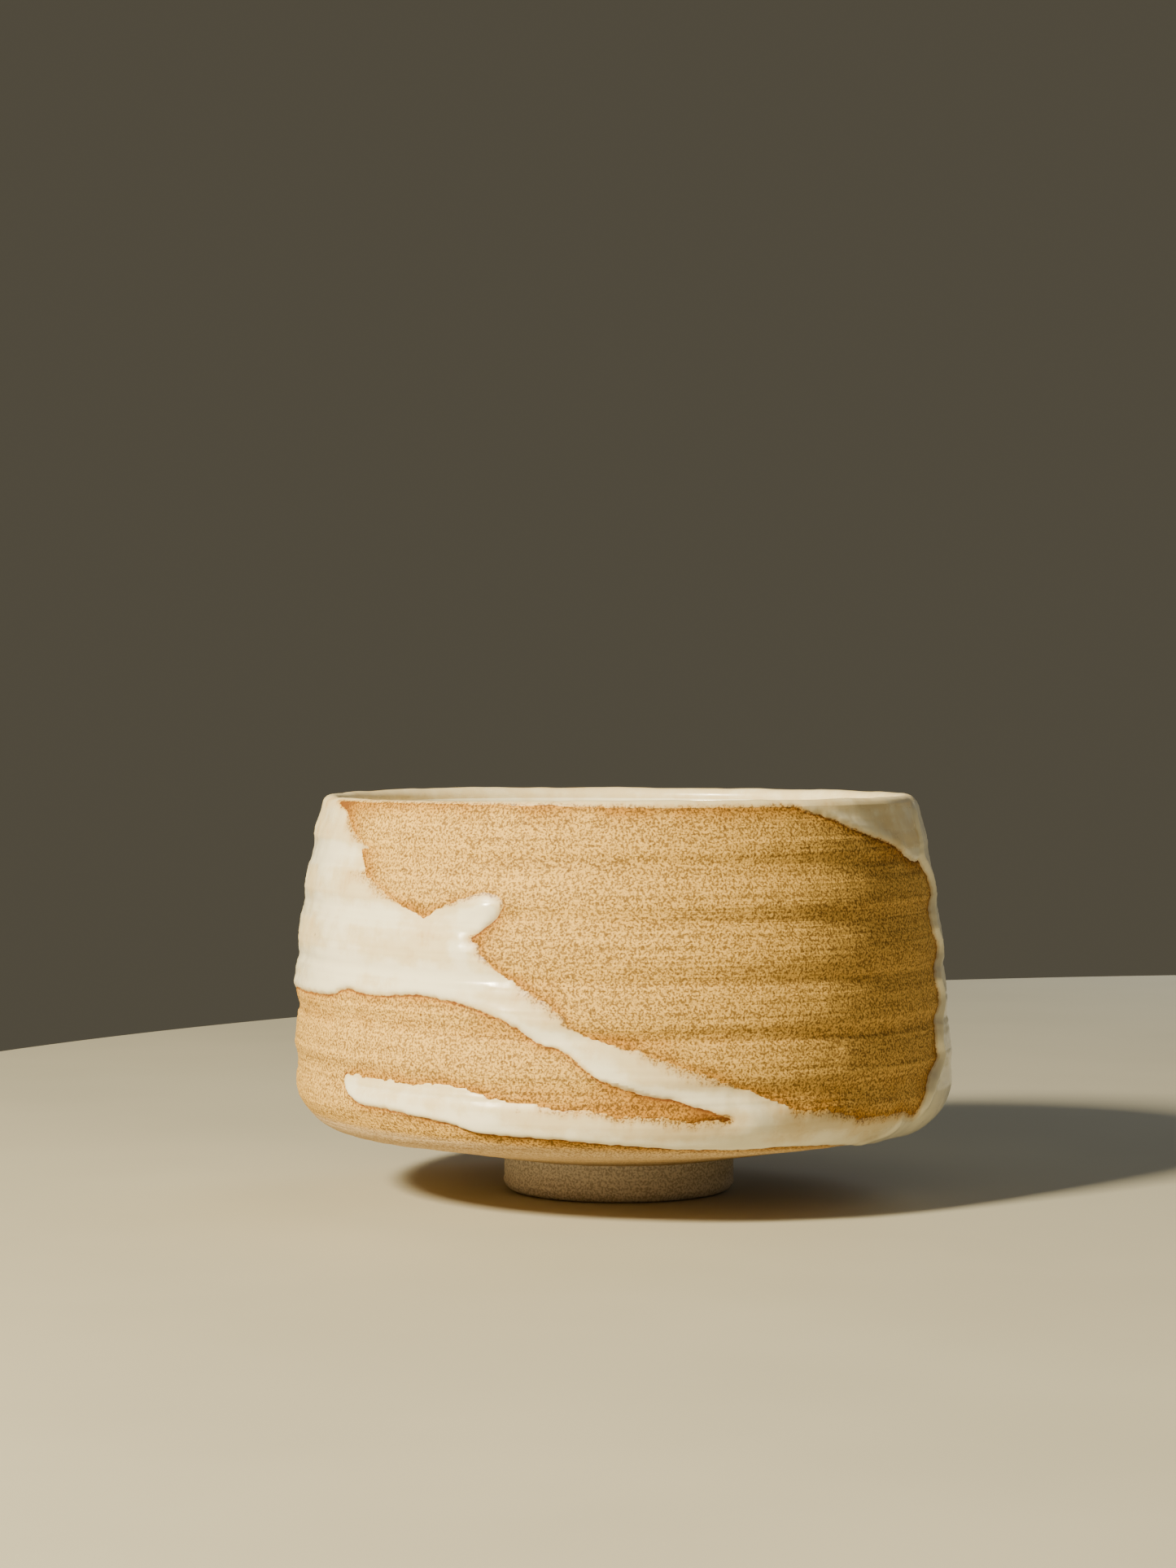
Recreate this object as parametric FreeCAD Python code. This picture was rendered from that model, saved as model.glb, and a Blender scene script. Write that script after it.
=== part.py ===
import FreeCAD, Part
import math
import os

# A thrown stoneware tea bowl with ladle-poured glaze.  Millimetres, +Z up, origin at the
# middle of the foot, on the surface that the bowl stands on.  Places round the bowl are in
# degrees from the front (-Y), positive towards the right (+X).

# Overall sizes
height = 73.0                  # standing surface to the top of the glazed lip
belly_radius = 59.3            # widest clay, low on the wall
rim_radius = 54.2              # outside of the clay just under the lip

# Foot
foot_radius = 21.2
foot_height = 6.7
foot_ring_width = 5.9
foot_outer_round = 1.9
foot_inner_round = 0.8

# Underside, and the heel where the base turns up into the wall
underside_rise = 5.2           # how much the straight underside climbs from foot to heel
heel_width = 9.3               # how far in from the belly the heel starts
heel_height = 9.75

# Wall and floor
lip_thickness = 2.6
belly_wall = 4.4
belly_level = 25.0             # the wall leans in above this level
wall_lean_power = 2.2          # how late the lean comes
floor_thickness = 5.0
floor_edge_inset = 12.0        # from the heel in to where the inner floor starts to turn up
inner_corner_lift = 2.0        # how much higher than the heel the inner corner ends
pool_radius = 17.0             # tea pool, the shallow dish in the middle of the floor
pool_depth = 1.0

# Throwing ridges
ridge_pitch = 9.7
ridge_height = 0.22
ridge_crest_level = 46.6
points_per_ridge = 5

# Glaze
glaze_thickness = 0.5
glaze_reach_under = 5.0        # how far in from the heel the poured coats may run

# The poured coats are parted from each other and from the bare clay by these borders.  Each
# is drawn once, as a smooth curve through (degrees from the front, percent of the way from
# the underside to the lip), and its ends meet the ends of its neighbours.
BORDERS = {
    "left_pour_front": [(-74, 104), (-66, 98), (-58, 92), (-52, 87)],
    "left_pour_nick": [(-52, 87), (-55, 86), (-52, 82), (-44, 75), (-36, 70)],
    "left_pour_seam": [(-36, 70), (-36, 50)],
    "left_pour_foot": [(-36, 50), (-46, 49), (-54, 50), (-62, 48), (-78, 47), (-96, 44), (-108, 38),
                       (-120, 41), (-140, 33), (-152, 23), (-163, 29), (-180, 24)],
    "finger_top": [(-36, 70), (-31, 74), (-24, 77), (-21, 75), (-22, 70), (-26, 65)],
    "diagonal_top": [(-26, 65), (-17, 54), (-8, 43), (5, 36), (16, 30), (32, 21), (46, 17), (61, 15)],
    "diagonal_foot": [(-36, 50), (-27, 48), (-18, 43), (-13, 38), (-4, 30), (9, 24), (18, 19)],
    "run_seam": [(18, 19), (31, 16), (46, 14), (61, 15)],
    "stream_top": [(18, 19), (5, 20), (-8, 22), (-20, 24), (-30, 27), (-41, 27), (-54, 28)],
    "stream_end": [(-54, 28), (-55, 26), (-54, 23), (-50, 20)],
    "stream_foot": [(-50, 20), (-40, 19), (-30, 17), (-23, 15), (-10, 14), (14, 11), (40, 10), (59, 8)],
    "right_pour_seam": [(61, 15), (59, 8)],
    "right_pour_front": [(61, 15), (66, 17), (69, 23), (73, 30), (72, 35), (77, 42), (74, 50), (80, 57),
                         (76, 63), (77, 69), (73, 80), (69, 83)],
    "right_pour_corner": [(69, 83), (58, 88), (48, 92), (39, 97), (31, 104)],
    "right_pour_foot": [(59, 8), (74, 7), (92, 8), (108, 10), (120, 9), (138, 14), (150, 12), (166, 18),
                        (180, 24)],
    "back_seam": [(180, 24), (177, 60), (179, 104)],
}

# One place inside each poured coat.
POURS = {
    "left_pour": (-70, 70),
    "diagonal_run": (-30, 60),
    "lower_stream": (-40, 23),
    "right_pour": (110, 50),
}

# Values that follow from the sizes above
clay_height = height - glaze_thickness
lip_radius = lip_thickness / 2
lip_level = clay_height - lip_radius
heel_radius = belly_radius - heel_width
heel_level = foot_height + underside_rise
wall_level = heel_level + heel_height
recess_radius = foot_radius - foot_ring_width
floor_level = foot_height + floor_thickness
border_reach = max(belly_radius, rim_radius) + 3 * glaze_thickness

CENTRE = FreeCAD.Vector(0, 0, 0)
UP = FreeCAD.Vector(0, 0, 1)


def at(radius, level):
    """A point of the half section, which lies in the XZ plane."""
    return FreeCAD.Vector(radius, 0, level)


def straight(start, end):
    return Part.LineSegment(start, end).toShape()


def arc(start, middle, end):
    return Part.Arc(start, middle, end).toShape()


def smooth(points):
    curve = Part.BSplineCurve()
    curve.interpolate(points)
    return curve.toShape()


def turned(edges):
    """The solid that a closed half section sweeps out round the bowl's axis."""
    return Part.Face(Part.Wire(edges)).revolve(CENTRE, UP, 360)


def underside_level(radius):
    return foot_height + underside_rise * (radius - foot_radius) / (heel_radius - foot_radius)


def leaning_radius(level):
    """Outside of the wall with no ridges: full at the belly, leaning in to the rim."""
    lean = max(0.0, level - belly_level) / (lip_level - belly_level)
    return belly_radius - (belly_radius - rim_radius) * lean ** wall_lean_power


def wall_radius(level):
    """Outside of the clay wall.  The ridges fade out over the last pitch under the lip."""
    crest = math.cos(2 * math.pi * (level - ridge_crest_level) / ridge_pitch)
    fade = min(1.0, (lip_level - level) / ridge_pitch)
    return leaning_radius(level) + ridge_height * crest * fade


def quarter_ellipse(low, high):
    """A round corner that leaves the low point level and reaches the high point upright."""
    turns = [math.radians(15 * step) for step in range(7)]
    reach = high.x - low.x
    rise = high.z - low.z
    return smooth([at(low.x + reach * math.sin(t), high.z - rise * math.cos(t)) for t in turns])


def outside_edges():
    """The clay's outside from the straight underside up to the lip."""
    foot_edge = at(foot_radius, foot_height)
    heel_edge = at(heel_radius, heel_level)
    count = math.ceil((lip_level - wall_level) / ridge_pitch * points_per_ridge)
    step = (lip_level - wall_level) / count
    levels = [wall_level + step * index for index in range(count + 1)]
    wall = [at(wall_radius(level), level) for level in levels]
    return straight(foot_edge, heel_edge), quarter_ellipse(heel_edge, wall[0]), smooth(wall)


def inside_edges():
    """The clay's inside from the middle of the tea pool out and up to the lip."""
    pool_bottom = at(0, floor_level - pool_depth)
    pool_edge = at(pool_radius, floor_level)
    dish_radius = (pool_radius ** 2 + pool_depth ** 2) / (2 * pool_depth)
    half_way = pool_radius / 2
    sag = dish_radius - math.sqrt(dish_radius ** 2 - half_way ** 2)
    pool = arc(pool_bottom, at(half_way, pool_bottom.z + sag), pool_edge)

    floor_radius = heel_radius - floor_edge_inset
    floor_edge = at(floor_radius, underside_level(floor_radius) + floor_thickness)
    corner_level = wall_level + inner_corner_lift
    wall = []
    for share in (0, 0.25, 0.5, 0.75, 1):
        level = corner_level + (lip_level - corner_level) * share
        thickness = belly_wall + (lip_thickness - belly_wall) * share
        wall.append(at(leaning_radius(level) - thickness, level))
    return pool, straight(pool_edge, floor_edge), quarter_ellipse(floor_edge, wall[0]), smooth(wall)


def offset_points(edges, distance, points_per_edge):
    """Points beside a chain of edges, on the right of the way that the edges run."""
    points = []
    for edge, count in zip(edges, points_per_edge):
        span = edge.LastParameter - edge.FirstParameter
        for index in range(1 if points else 0, count):
            parameter = edge.FirstParameter + span * index / (count - 1)
            along = edge.tangentAt(parameter)
            points.append(edge.valueAt(parameter) + at(along.z, -along.x) * distance)
    return points


def lip_arc(thickness):
    """The round of the lip, or of the glaze of this thickness over it."""
    radius = lip_radius + thickness
    middle = rim_radius - lip_radius
    outer, inner = at(middle + radius, lip_level), at(middle - radius, lip_level)
    return arc(outer, at(middle, lip_level + radius), inner)


def make_clay_body():
    inside = inside_edges()
    base = straight(at(0, foot_height), at(foot_radius, foot_height))
    axis = straight(inside[0].valueAt(inside[0].FirstParameter), at(0, foot_height))
    return turned([base, *outside_edges(), lip_arc(0), *reversed(inside), axis])


def make_foot_ring():
    """The ring under the floor, its standing edge rounded outside and inside."""
    outer, inner = foot_radius, recess_radius
    slack = 1 - math.sqrt(0.5)
    outer_middle = at(outer - foot_outer_round * slack, foot_outer_round * slack)
    inner_middle = at(inner + foot_inner_round * slack, foot_inner_round * slack)
    outer_high, outer_low = at(outer, foot_outer_round), at(outer - foot_outer_round, 0)
    inner_high, inner_low = at(inner, foot_inner_round), at(inner + foot_inner_round, 0)
    return turned([
        straight(at(inner, foot_height), at(outer, foot_height)),
        straight(at(outer, foot_height), outer_high),
        arc(outer_high, outer_middle, outer_low),
        straight(outer_low, inner_low),
        arc(inner_low, inner_middle, inner_high),
        straight(inner_high, at(inner, foot_height)),
    ])


def make_inner_glaze():
    """The lining coat, from the middle of the floor up to the lip."""
    inside = inside_edges()
    surface = offset_points(inside, -glaze_thickness, (6, 5, 7, 9))
    clay_lip = at(rim_radius - lip_thickness, lip_level)
    surface[0] = at(0, surface[0].z)
    surface[-1] = clay_lip - at(glaze_thickness, 0)
    axis = straight(surface[0], inside[0].valueAt(inside[0].FirstParameter))
    return turned([*inside, straight(clay_lip, surface[-1]), smooth(surface), axis])


def make_lip_glaze():
    """The coat over the lip, between the lining and the poured coats."""
    clay, surface = lip_arc(0), lip_arc(glaze_thickness)
    outer_end = straight(at(rim_radius, lip_level), at(rim_radius + glaze_thickness, lip_level))
    inner_end = straight(at(rim_radius - lip_thickness - glaze_thickness, lip_level),
                         at(rim_radius - lip_thickness, lip_level))
    return turned([outer_end, surface, inner_end, clay])


def make_outer_skin():
    """One coat all over the outside, which the borders cut into the poured coats."""
    underside, heel, wall = outside_edges()
    skin_start = at(heel_radius - glaze_reach_under, underside_level(heel_radius - glaze_reach_under))
    underside = straight(skin_start, underside.valueAt(underside.LastParameter))
    wall_points = wall.Curve.NbPoles * 2
    surface = offset_points([underside, heel, wall], glaze_thickness, (3, 7, wall_points))
    clay_lip = at(rim_radius, lip_level)
    surface[-1] = clay_lip + at(glaze_thickness, 0)
    start = straight(surface[0], skin_start)
    return turned([start, underside, heel, wall, straight(clay_lip, surface[-1]), smooth(surface)])


def on_cylinder(radius, place):
    """A point at a place given as (degrees from the front, percent of the way to the lip)."""
    degrees, percent = place
    turn = math.radians(degrees)
    level = foot_height + (clay_height - foot_height) * percent / 100
    return FreeCAD.Vector(radius * math.sin(turn), -radius * math.cos(turn), level)


def border_wall(places):
    """The upright ribbon, radial to the bowl, that a border cuts along."""
    outer = [on_cylinder(border_reach, place) for place in places]
    inner = [on_cylinder(recess_radius, place) for place in places]
    knots = [0.0]
    for before, after in zip(outer, outer[1:]):
        knots.append(knots[-1] + (after - before).Length)
    curves = []
    for points in (outer, inner):
        curve = Part.BSplineCurve()
        curve.interpolate(Points=points, Parameters=knots)
        curves.append(curve.toShape())
    return Part.makeRuledSurface(*curves)


def make_pours():
    """The poured coats by name: the outer skin, cut along every border."""
    walls = [border_wall(places) for places in BORDERS.values()]
    coats = make_outer_skin().generalFuse(walls)[0].Solids
    pours = {}
    for name, place in POURS.items():
        level = on_cylinder(0, place).z
        inside_coat = on_cylinder(wall_radius(level) + glaze_thickness / 2, place)
        pours[name] = next(coat for coat in coats if coat.isInside(inside_coat, 1e-4, True))
    return pours


def main():
    nodes = {
        "clay_body": make_clay_body(),
        "foot_ring": make_foot_ring(),
        "inner_glaze": make_inner_glaze(),
        "lip_glaze": make_lip_glaze(),
        **make_pours(),
    }
    os.makedirs("parts", exist_ok=True)
    for name, shape in nodes.items():
        shape.exportStep(f"parts/{name}.step")
        box = shape.BoundBox
        print(f"{name}: {shape.Volume / 1000:.1f} cm3, valid {shape.isValid()},"
              f" level {box.ZMin:.2f} to {box.ZMax:.2f}")


main()
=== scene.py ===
"""A hand-thrown stoneware tea bowl with ladle-poured white glaze.

The clay body, its turned foot, the lining, the coat on the lip and the four poured coats are
each a piece of their own.  All of them lie on one thrown form, so that glaze follows clay.
Metres, +Z up.  Places round the bowl are in degrees from the front (-Y), positive towards +X,
and heights on the outside are in percent of the way from the underside up to the lip.
"""

import logging
import math
from dataclasses import dataclass, field
from enum import Enum
from functools import cached_property

import bmesh
import bpy
import numpy as np
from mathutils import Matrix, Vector
from mathutils.kdtree import KDTree


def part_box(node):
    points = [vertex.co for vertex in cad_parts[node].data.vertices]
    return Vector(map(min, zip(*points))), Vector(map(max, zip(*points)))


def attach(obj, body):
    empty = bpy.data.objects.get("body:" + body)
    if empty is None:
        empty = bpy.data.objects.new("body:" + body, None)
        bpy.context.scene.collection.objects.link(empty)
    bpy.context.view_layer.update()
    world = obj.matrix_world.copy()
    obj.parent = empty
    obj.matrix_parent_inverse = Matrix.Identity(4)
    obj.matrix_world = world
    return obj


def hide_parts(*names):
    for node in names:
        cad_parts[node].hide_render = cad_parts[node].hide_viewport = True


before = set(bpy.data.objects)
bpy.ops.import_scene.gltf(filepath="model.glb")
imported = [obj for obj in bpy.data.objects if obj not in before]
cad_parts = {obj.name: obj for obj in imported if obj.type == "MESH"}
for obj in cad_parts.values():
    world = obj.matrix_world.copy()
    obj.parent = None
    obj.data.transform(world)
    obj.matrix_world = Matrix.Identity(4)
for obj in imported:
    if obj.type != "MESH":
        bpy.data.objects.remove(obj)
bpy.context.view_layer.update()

log = logging.getLogger("tea_bowl")

MM = 0.001
BODY = "root"
SECTORS = 24

Colour = tuple[float, float, float]
Places = tuple[tuple[float, float], ...]
Fed = bpy.types.NodeSocket | Colour | float


def tone(red: int, green: int, blue: int) -> Colour:
    """A colour given in screen values from 0 to 255, as the linear colour that a shader takes.

    Args:
        red: Screen value of red.
        green: Screen value of green.
        blue: Screen value of blue.

    Returns:
        The linear colour.
    """
    shares = (red / 255, green / 255, blue / 255)
    return tuple(s / 12.92 if s <= 0.04045 else ((s + 0.055) / 1.055) ** 2.4 for s in shares)


def eased(value: np.ndarray, low: float, high: float) -> np.ndarray:
    """A smooth step from 0 at low to 1 at high.

    Args:
        value: Where the step is wanted.
        low: Where it starts.
        high: Where it ends.

    Returns:
        The step's height, from 0 to 1.
    """
    share = np.clip((value - low) / (high - low), 0.0, 1.0)
    return share * share * (3.0 - 2.0 * share)


def bump_at(distance: np.ndarray, reach: float) -> np.ndarray:
    """A round swelling, 1 at no distance and nearly gone at twice its reach."""
    return np.exp(-((distance / reach) ** 2))


def bell(reach: float) -> tuple[int, np.ndarray]:
    """Weights that fall off from a middle one.

    Args:
        reach: How many steps away the weight is down to six tenths.

    Returns:
        How many weights there are on either side of the middle one, and all of them.
    """
    half = math.ceil(3 * reach)
    weights = np.exp(-0.5 * (np.arange(-half, half + 1) / reach) ** 2)
    return half, weights / weights.sum()


# ---------------------------------------------------------------------------------- the form


@dataclass(frozen=True)
class Wander:
    """A slow, repeatable unevenness in space: a few sine waves of about one length."""

    wavelength: float
    amplitude: float
    seed: int
    waves: int = 8

    def over(self, points: np.ndarray) -> np.ndarray:
        """The unevenness at points in space.

        Args:
            points: Rows of x, y and z.

        Returns:
            One value for each point.
        """
        draw = np.random.default_rng(self.seed)
        total = np.zeros(len(points))
        for _ in range(self.waves):
            heading = draw.normal(size=3)
            heading /= np.linalg.norm(heading) * self.wavelength * draw.uniform(0.7, 1.4)
            total += np.sin(math.tau * (points @ heading) + draw.uniform(0, math.tau))
        return total * self.amplitude * math.sqrt(2 / self.waves)


@dataclass(frozen=True)
class Section:
    """Half of a turned outline: a chain of points that runs along the surface."""

    radius: np.ndarray
    level: np.ndarray

    @cached_property
    def run(self) -> np.ndarray:
        """How far along the surface each point is from the first."""
        steps = np.hypot(np.diff(self.radius), np.diff(self.level))
        return np.concatenate([[0.0], np.cumsum(steps)])

    @property
    def length(self) -> float:
        """The whole run."""
        return float(self.run[-1])

    def at(self, run: np.ndarray) -> tuple[np.ndarray, np.ndarray]:
        """Radius and level at a run along the surface."""
        return np.interp(run, self.run, self.radius), np.interp(run, self.run, self.level)

    def sparse(self, sag: float) -> np.ndarray:
        """The runs of few points, joined by chords that stay close to the surface.

        Args:
            sag: How far a chord may be from the surface.

        Returns:
            The runs, from the first point to the last.
        """
        kept = [0]
        for end in range(2, len(self.run)):
            start = kept[-1]
            chord = np.array([self.radius[end] - self.radius[start], self.level[end] - self.level[start]])
            out, up = self.radius[start:end] - self.radius[start], self.level[start:end] - self.level[start]
            if np.abs(out * chord[1] - up * chord[0]).max() > sag * np.linalg.norm(chord):
                kept.append(end - 1)
        return self.run[[*kept, len(self.run) - 1]]

    def facing(self, run: np.ndarray) -> tuple[np.ndarray, np.ndarray]:
        """The unit normal on the right of the way that the section runs.

        Args:
            run: How far along the surface.

        Returns:
            The normal's radial and upward parts.
        """
        near = 0.15 * MM
        before = self.at(np.clip(run - near, 0, self.length))
        after = self.at(np.clip(run + near, 0, self.length))
        out, up = after[0] - before[0], after[1] - before[1]
        size = np.hypot(out, up)
        return up / size, -out / size


@dataclass(frozen=True)
class ThrowingMarks:
    """The ridges that the potter's fingers left round the outside of the wall."""

    pitch: float = 9.7 * MM
    height: float = 0.23 * MM
    crest_level: float = 46.4 * MM
    lean: float = 0.53             # how much steeper a ridge is below its crest than above
    fall: float = 0.7 * MM         # how much lower the ridges lie on the right than in front
    fine_wavelengths: tuple[float, ...] = (4.3 * MM, 2.9 * MM, 1.9 * MM, 1.35 * MM, 1.05 * MM)
    fine_height: float = 0.026 * MM
    # The deeper lines that a fingertip left: level, depth and half width.
    lines: tuple[tuple[float, float, float], ...] = (
        (60.5 * MM, 0.13 * MM, 0.55 * MM),
        (53.0 * MM, 0.12 * MM, 0.5 * MM),
        (43.0 * MM, 0.09 * MM, 0.5 * MM),
        (33.0 * MM, 0.09 * MM, 0.6 * MM),
        (67.0 * MM, 0.06 * MM, 0.4 * MM),
        (22.0 * MM, 0.06 * MM, 0.6 * MM),
    )

    def over(self, theta: np.ndarray, level: np.ndarray) -> np.ndarray:
        """How far the marks stand out of the plain wall.

        Args:
            theta: Turn from the front, in radians.
            level: Height above the standing surface.

        Returns:
            The height of the marks, negative in a groove.
        """
        drift = 0.35 * MM * np.sin(2 * theta + 1.1)
        here = level + self.fall * np.sin(theta) + drift
        phase = math.tau * (here - self.crest_level) / self.pitch
        strength = 1.2 + 0.25 * np.sin(3 * theta + 0.4)
        marks = self.height * strength * np.cos(phase - self.lean * (1 - np.cos(phase)))
        for order, wavelength in enumerate(self.fine_wavelengths):
            weave = order + 0.5 * np.sin((order + 1) * theta + order)
            marks = marks + self.fine_height * np.sin(math.tau * here / wavelength + weave)
        for line_level, depth, half_width in self.lines:
            marks = marks - depth * strength * bump_at(here - line_level, half_width)
        return marks


@dataclass(frozen=True)
class BowlForm:
    """The thrown form under every piece, with its overall sizes read off the frame."""

    foot_radius: float
    foot_height: float
    belly_radius: float
    rim_radius: float
    clay_top: float
    coat: float
    foot_ring_width: float = 5.9 * MM
    underside_rise: float = 5.2 * MM
    heel_width: float = 9.3 * MM
    heel_height: float = 9.75 * MM
    belly_level: float = 25.0 * MM
    lean_power: float = 2.2
    lip_radius: float = 1.3 * MM
    belly_wall: float = 4.4 * MM
    floor_thickness: float = 5.0 * MM
    floor_edge_inset: float = 12.0 * MM
    inner_corner_lift: float = 2.0 * MM
    pool_radius: float = 17.0 * MM
    pool_depth: float = 1.0 * MM
    out_of_round: float = 0.0012
    rim_wave: float = 0.12 * MM
    marks: ThrowingMarks = ThrowingMarks()

    @classmethod
    def from_frame(cls) -> "BowlForm":
        """Takes the overall sizes from the boxes of the frame's nodes.

        Returns:
            The form.
        """
        clay_low, clay_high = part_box("clay_body")
        _, foot_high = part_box("foot_ring")
        _, lip_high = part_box("lip_glaze")
        coat = lip_high.z - clay_high.z
        return cls(
            foot_radius=foot_high.x,
            foot_height=clay_low.z,
            belly_radius=clay_high.x - ThrowingMarks().height,
            rim_radius=lip_high.x - coat,
            clay_top=clay_high.z,
            coat=coat,
        )

    @property
    def heel_radius(self) -> float:
        """Where the straight underside ends and the heel starts to turn up."""
        return self.belly_radius - self.heel_width

    @property
    def heel_level(self) -> float:
        """How high the heel starts."""
        return self.foot_height + self.underside_rise

    @property
    def wall_level(self) -> float:
        """Where the heel ends and the wall starts."""
        return self.heel_level + self.heel_height

    @property
    def floor_level(self) -> float:
        """The inside floor, round the tea pool."""
        return self.foot_height + self.floor_thickness

    @property
    def recess_radius(self) -> float:
        """The hollow inside the foot ring."""
        return self.foot_radius - self.foot_ring_width

    @property
    def lean_at_lip(self) -> float:
        """How far the wall leans in where it meets the lip, in radians."""
        slope = self.lean_power * (self.belly_radius - self.rim_radius)
        return math.atan(slope / (self.clay_top - self.lip_radius - self.belly_level))

    @property
    def wall_top(self) -> float:
        """Where the wall meets the round of the lip, on the outside."""
        return self.clay_top - self.lip_radius * (1 - math.sin(self.lean_at_lip))

    def level_of(self, percent: np.ndarray | float) -> np.ndarray | float:
        """The level of a height given in percent of the way from the underside to the lip."""
        return self.foot_height + (self.clay_top - self.foot_height) * percent / 100

    def percent_of(self, level: np.ndarray | float) -> np.ndarray | float:
        """The height in percent of a level."""
        return 100 * (level - self.foot_height) / (self.clay_top - self.foot_height)

    def leaning_radius(self, level: np.ndarray | float) -> np.ndarray | float:
        """Outside of the plain wall: full at the belly, leaning in to the rim.

        Args:
            level: Height above the standing surface.

        Returns:
            The radius.
        """
        top = self.clay_top - self.lip_radius
        lean = np.clip((level - self.belly_level) / (top - self.belly_level), 0, None)
        return self.belly_radius - (self.belly_radius - self.rim_radius) * lean ** self.lean_power

    @cached_property
    def outside(self) -> Section:
        """From the foot out along the underside, up the wall and over the lip to its inner side.

        Returns:
            The outer half section.
        """
        quarter = np.linspace(0, math.pi / 2, 60)[1:]
        wall_foot = self.leaning_radius(self.wall_level)
        heel = (self.heel_radius + (wall_foot - self.heel_radius) * np.sin(quarter),
                self.wall_level - self.heel_height * np.cos(quarter))
        wall_levels = np.linspace(self.wall_level, self.wall_top, 300)[1:]
        wall = (self.leaning_radius(wall_levels), wall_levels)
        lean = self.lean_at_lip
        turn = np.linspace(lean, math.pi + lean, 90)[1:]
        middle = wall[0][-1] - self.lip_radius * math.cos(lean)
        lip = (middle + self.lip_radius * np.cos(turn),
               self.clay_top - self.lip_radius + self.lip_radius * np.sin(turn))
        start = np.array([self.foot_radius, self.heel_radius])
        levels = np.array([self.foot_height, self.heel_level])
        return Section(np.concatenate([start, heel[0], wall[0], lip[0]]),
                       np.concatenate([levels, heel[1], wall[1], lip[1]]))

    @cached_property
    def inside(self) -> Section:
        """From the lip's inner side down the wall and in along the floor to the middle.

        Returns:
            The inner half section.
        """
        lip_radius, lip_level = self.outside.radius[-1], self.outside.level[-1]
        corner_level = self.wall_level + self.inner_corner_lift
        levels = np.linspace(lip_level, corner_level, 200)
        share = (lip_level - levels) / (lip_level - corner_level)
        lip_wall = self.leaning_radius(lip_level) - lip_radius
        wall = self.leaning_radius(levels) - lip_wall - (self.belly_wall - lip_wall) * share
        floor_edge = self.heel_radius - self.floor_edge_inset
        slope = self.underside_rise / (self.heel_radius - self.foot_radius)
        edge_level = self.floor_level + slope * (floor_edge - self.foot_radius)
        quarter = np.linspace(math.pi / 2, 0, 60)[1:]
        corner = (floor_edge + (wall[-1] - floor_edge) * np.sin(quarter),
                  corner_level - (corner_level - edge_level) * np.cos(quarter))
        floor = (np.linspace(floor_edge, self.pool_radius, 20)[1:],
                 np.linspace(edge_level, self.floor_level, 20)[1:])
        pool_radii = np.linspace(self.pool_radius, 0, 50)[1:]
        dish = self.floor_level - self.pool_depth * (1 - (pool_radii / self.pool_radius) ** 2)
        return Section(np.concatenate([[lip_radius], wall[1:], corner[0], floor[0], pool_radii]),
                       np.concatenate([[lip_level], levels[1:], corner[1], floor[1], dish]))

    def run_of(self, percent: np.ndarray) -> np.ndarray:
        """How far along the outside a height in percent is, up to the top of the lip."""
        top = int(np.argmax(self.outside.level)) + 1
        return np.interp(self.level_of(percent), self.outside.level[:top], self.outside.run[:top])

    def marks_at(self, theta: np.ndarray, run: np.ndarray) -> np.ndarray:
        """The throwing marks on the outside, which stop at the heel and under the lip.

        Args:
            theta: Turn from the front, in radians.
            run: How far along the outside.

        Returns:
            How far the marks stand out of the plain form.
        """
        _, level = self.outside.at(run)
        wall_top = float(self.run_of(self.percent_of_wall_top))
        upper = 1 - eased(run, wall_top - self.marks.pitch * 0.5, wall_top)
        lower = eased(level, self.heel_level + 1.5 * MM, self.wall_level)
        return self.marks.over(theta, level) * upper * lower

    @property
    def percent_of_wall_top(self) -> float:
        """The height of the wall's top, in percent."""
        return self.percent_of(self.wall_top)

    def settled(self, theta: np.ndarray, radius: np.ndarray, level: np.ndarray) -> np.ndarray:
        """Points in space, with the slight unevenness of a hand-thrown bowl.

        Args:
            theta: Turn from the front, in radians.
            radius: Distance from the axis.
            level: Height above the standing surface.

        Returns:
            Rows of x, y and z.
        """
        height_share = np.clip(level / self.clay_top, 0, 1) ** 2
        radius = radius * (1 + self.out_of_round * height_share * np.cos(2 * theta - 0.7))
        wave = np.sin(2 * theta + 0.6) + 0.5 * np.sin(3 * theta + 2.1)
        level = level + self.rim_wave * wave * height_share ** 2
        return np.stack([radius * np.sin(theta), -radius * np.cos(theta), level], axis=1)

    def on_outside(self, theta: np.ndarray, run: np.ndarray, lift: np.ndarray) -> np.ndarray:
        """Points on the outside, or above it.

        Args:
            theta: Turn from the front, in radians.
            run: How far along the outside.
            lift: How far above the plain form.

        Returns:
            Rows of x, y and z.
        """
        radius, level = self.outside.at(run)
        out, up = self.outside.facing(run)
        return self.settled(theta, radius + out * lift, level + up * lift)

    def on_inside(self, theta: np.ndarray, run: np.ndarray, lift: np.ndarray) -> np.ndarray:
        """Points on the inside, or above it.

        Args:
            theta: Turn from the front, in radians.
            run: How far along the inside, from the lip.
            lift: How far above the plain form.

        Returns:
            Rows of x, y and z.
        """
        radius, level = self.inside.at(run)
        out, up = self.inside.facing(run)
        return self.settled(theta, np.maximum(radius + out * lift, 0), level + up * lift)


# -------------------------------------------------------------------------- where glaze lies


class Ending(Enum):
    """How a coat of glaze ends on the clay."""

    THIN = "drained away to a film"
    ROLLED = "gathered into a thick round bead"


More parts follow.
